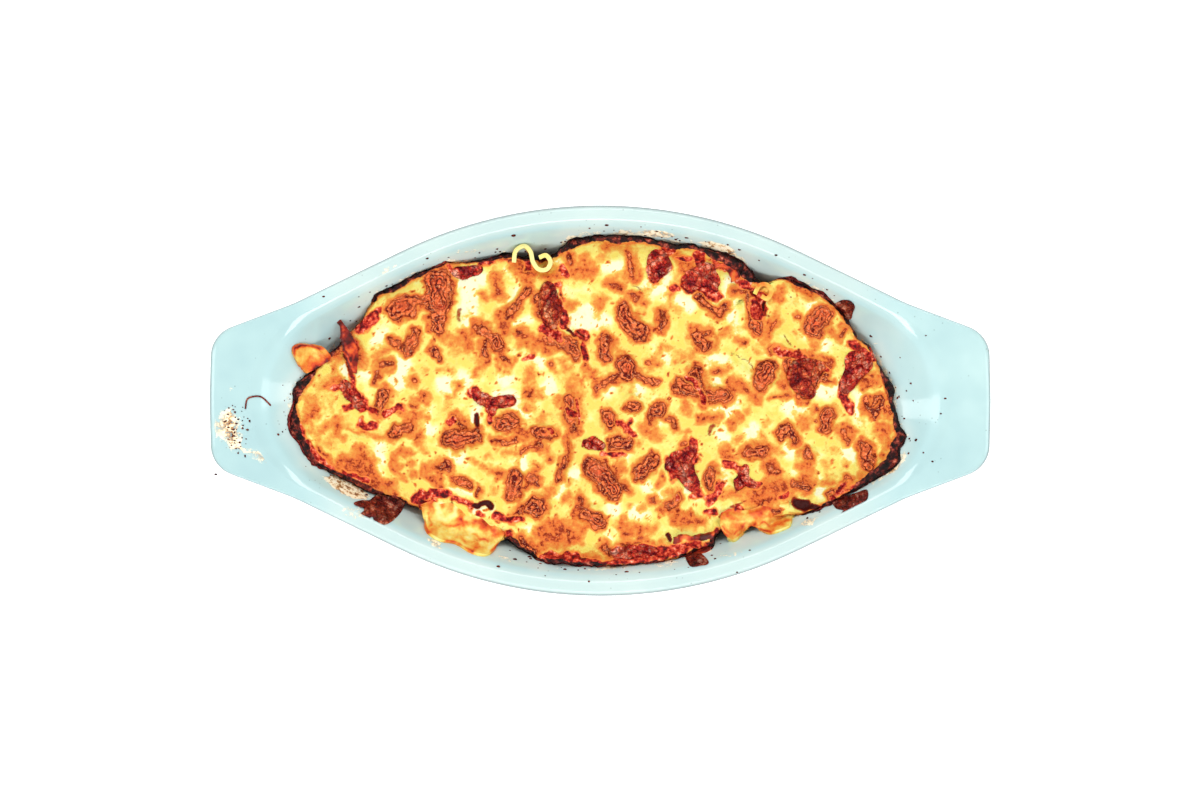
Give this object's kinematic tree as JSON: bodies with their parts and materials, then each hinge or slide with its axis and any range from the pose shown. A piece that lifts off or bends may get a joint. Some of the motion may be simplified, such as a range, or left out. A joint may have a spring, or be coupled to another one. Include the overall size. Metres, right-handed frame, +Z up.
{
  "type": "baked lasagna in an oval dish",
  "caption": "Baked lasagna with a browned cheese top, burnt edge and curling pasta, in its deep oval stoneware gratin dish with a flat grip at each end.",
  "frame": {"origin": "under the middle of the dish, on the surface it stands on", "axes": "+X along the dish through both grips, +Y across it, +Z up"},
  "size_m": [0.3602, 0.1802, 0.056],
  "materials": {
    "glazed_stoneware": "pale aqua gloss glaze with fine speckles",
    "baked_filling": "dark baked meat sauce and pasta, burnt black at the edge",
    "melted_cheese": "melted cheese, browned in blisters",
    "tomato_sauce": "oily dark red tomato sauce",
    "browned_meat": "browned, oily, lumpy",
    "pasta": "cooked pasta, dried and browned at its edges",
    "burnt_sauce": "burnt, crisp, slightly shiny"
  },
  "bodies": {
    "root": {"dish": "glazed_stoneware", "filling": "baked_filling", "cheese_crust": "melted_cheese", "sauce_top_left": "tomato_sauce", "sauce_top_middle": "tomato_sauce", "tomato_top_right": "tomato_sauce", "sauce_right": "tomato_sauce", "meat_right": "browned_meat", "meat_ridge": "browned_meat", "sauce_middle_left": "tomato_sauce", "sauce_middle": "tomato_sauce", "sauce_lower_right": "tomato_sauce", "sauce_lower_far": "tomato_sauce", "sauce_left": "tomato_sauce", "sauce_bottom": "tomato_sauce", "drip_lower_left": "burnt_sauce", "drip_bottom": "burnt_sauce", "drip_lower_right": "burnt_sauce", "burnt_bubble": "burnt_sauce", "pasta_curl_top": "pasta", "pasta_curl_right": "pasta", "pasta_sheet_lower_left": "pasta", "pasta_sheet_lower_right": "pasta", "pasta_fold_bottom": "pasta", "pasta_arch_top": "pasta", "pasta_corner_left": "pasta", "pasta_flap_left": "pasta"}
  },
  "joints": []
}
